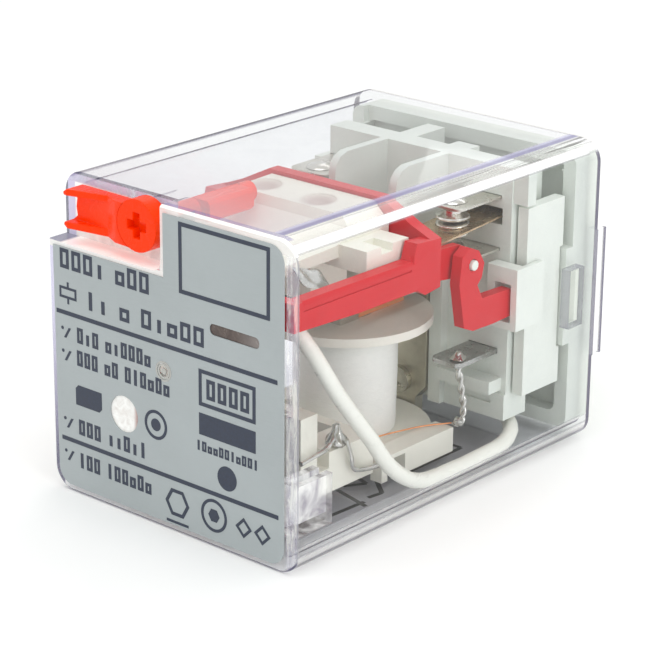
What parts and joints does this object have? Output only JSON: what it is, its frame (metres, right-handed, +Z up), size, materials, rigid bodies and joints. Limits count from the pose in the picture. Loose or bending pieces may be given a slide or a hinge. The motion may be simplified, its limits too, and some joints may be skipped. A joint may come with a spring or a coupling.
{
  "type": "plug in relay",
  "caption": "Octal-plug changeover relay: clear clip-on case, clapper armature, red actuator frame, coil, contacts and an orange quarter-turn test lever.",
  "frame": {"origin": "under the middle of the relay's box, plug pins included, on the surface it lies on", "axes": "+X across the label, +Y from the label to the plug pins, +Z up with the relay lying on one side"},
  "size_m": [0.0356, 0.066, 0.0356],
  "materials": {
    "clear_plastic": "clear moulded polycarbonate, glossy",
    "label_foil": "satin silver foil with dark print",
    "diagram_sheet": "matt grey printed label",
    "orange_plastic": "smooth moulded orange plastic",
    "red_plastic": "semi-gloss moulded red plastic",
    "grey_plastic": "light grey moulded plastic, fine matt",
    "white_plastic": "white moulded plastic",
    "cream_plastic": "cream moulded plastic",
    "coil_tape": "white winding tape",
    "lead_insulation": "white wire insulation",
    "nickel_plate": "nickel plated steel",
    "steel": "plain steel",
    "copper": "copper",
    "spring_bronze": "rolled phosphor bronze",
    "silver_contact": "polished silver alloy",
    "tinned_metal": "tinned, slightly lumpy",
    "plug_pin": "nickel plated pin"
  },
  "bodies": {
    "case": {"cover": "clear_plastic", "label_foil": "label_foil", "diagram_label": "diagram_sheet", "base_plate": "grey_plastic", "contact_block": "grey_plastic", "yoke": "nickel_plate", "yoke_rivet": "steel", "coil_core": "steel", "shading_ring": "copper", "bobbin": "cream_plastic", "coil_winding": "coil_tape", "coil_start": "tinned_metal", "coil_tail": "tinned_metal", "white_lead": "lead_insulation", "plug_pin_1": "plug_pin", "plug_pin_2": "plug_pin", "plug_pin_3": "plug_pin", "plug_pin_4": "plug_pin", "plug_pin_5": "plug_pin", "plug_pin_6": "plug_pin", "plug_pin_7": "plug_pin", "plug_pin_8": "plug_pin", "side_slab_right": "white_plastic", "side_slab_left": "white_plastic", "hinge_block_right": "white_plastic", "hinge_block_left": "white_plastic", "solder_joint_right": "tinned_metal", "solder_joint_left": "tinned_metal", "coil_terminal_right": "tinned_metal", "coil_terminal_left": "tinned_metal", "terminal_tail_right": "tinned_metal", "terminal_tail_left": "tinned_metal", "upper_blade_right": "nickel_plate", "upper_blade_left": "nickel_plate", "upper_contact_right": "silver_contact", "upper_contact_left": "silver_contact", "lower_blade_right": "nickel_plate", "lower_blade_left": "nickel_plate", "lower_contact_right": "silver_contact", "lower_contact_left": "silver_contact"},
    "armature": {"armature_plate": "nickel_plate", "armature_carrier": "cream_plastic", "actuator_frame": "red_plastic", "carrier_tab": "tinned_metal", "hinge_arm_right": "red_plastic", "hinge_arm_left": "red_plastic", "hinge_pin_right": "white_plastic", "hinge_pin_left": "white_plastic"},
    "spring_right": {"leaf_spring_right": "spring_bronze", "moving_contact_right": "silver_contact"},
    "spring_left": {"leaf_spring_left": "spring_bronze", "moving_contact_left": "silver_contact"},
    "lever": {"test_lever": "orange_plastic"}
  },
  "joints": [
    {"name": "armature_hinge", "type": "hinge", "parent": "case", "child": "armature", "pos_m": [0, 0.0053, 0.0192], "axis": [1, 0, 0], "range_deg": [0, 4.5], "stiffness_Nm_per_rad": 0.01, "springref_deg": -22.92},
    {"name": "spring_right_bend", "type": "hinge", "parent": "case", "child": "spring_right", "pos_m": [0.00965, 0.011, 0.0284], "axis": [1, 0, 0], "range_deg": [0, 3.3]},
    {"name": "spring_left_bend", "type": "hinge", "parent": "case", "child": "spring_left", "pos_m": [-0.00965, 0.011, 0.0284], "axis": [1, 0, 0], "range_deg": [0, 3.3]},
    {"name": "lever_turn", "type": "hinge", "parent": "case", "child": "lever", "pos_m": [-0.0047, -0.0305, 0.0325], "axis": [0, 1, 0], "range_deg": [0, 90]}
  ],
  "couplings": [
    {"joint": "spring_right_bend", "follows": "armature_hinge", "ratio": 0.7},
    {"joint": "spring_left_bend", "follows": "armature_hinge", "ratio": 0.7}
  ]
}
